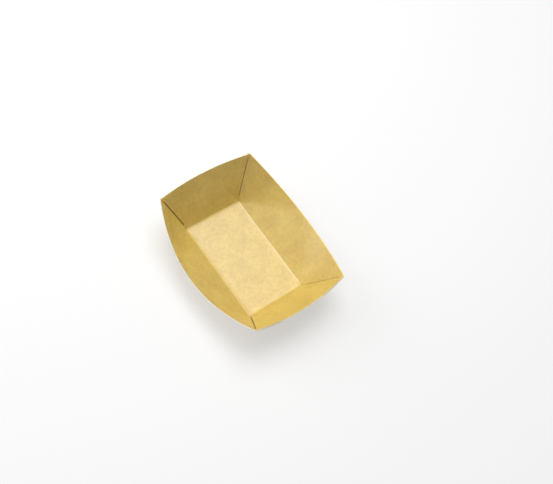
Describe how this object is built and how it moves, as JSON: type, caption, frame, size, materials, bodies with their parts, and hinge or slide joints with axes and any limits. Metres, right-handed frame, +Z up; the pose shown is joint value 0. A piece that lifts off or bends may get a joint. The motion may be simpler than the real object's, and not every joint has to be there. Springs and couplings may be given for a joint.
{
  "type": "paper food tray",
  "caption": "Small open food tray folded from one sheet of kraft paper board, with flaring walls, long sides that dip and bow out, and flaps glued outside the ends.",
  "frame": {"origin": "centre of the flat underside, on the surface that the tray stands on", "axes": "+Z up out of the open top, +X along the long sides, +Y towards a long side"},
  "size_m": [0.1252, 0.1034, 0.0322],
  "materials": {
    "kraft_board": "soft sheen inside, matte outside"
  },
  "bodies": {
    "root": {"tray": "kraft_board"}
  },
  "joints": []
}
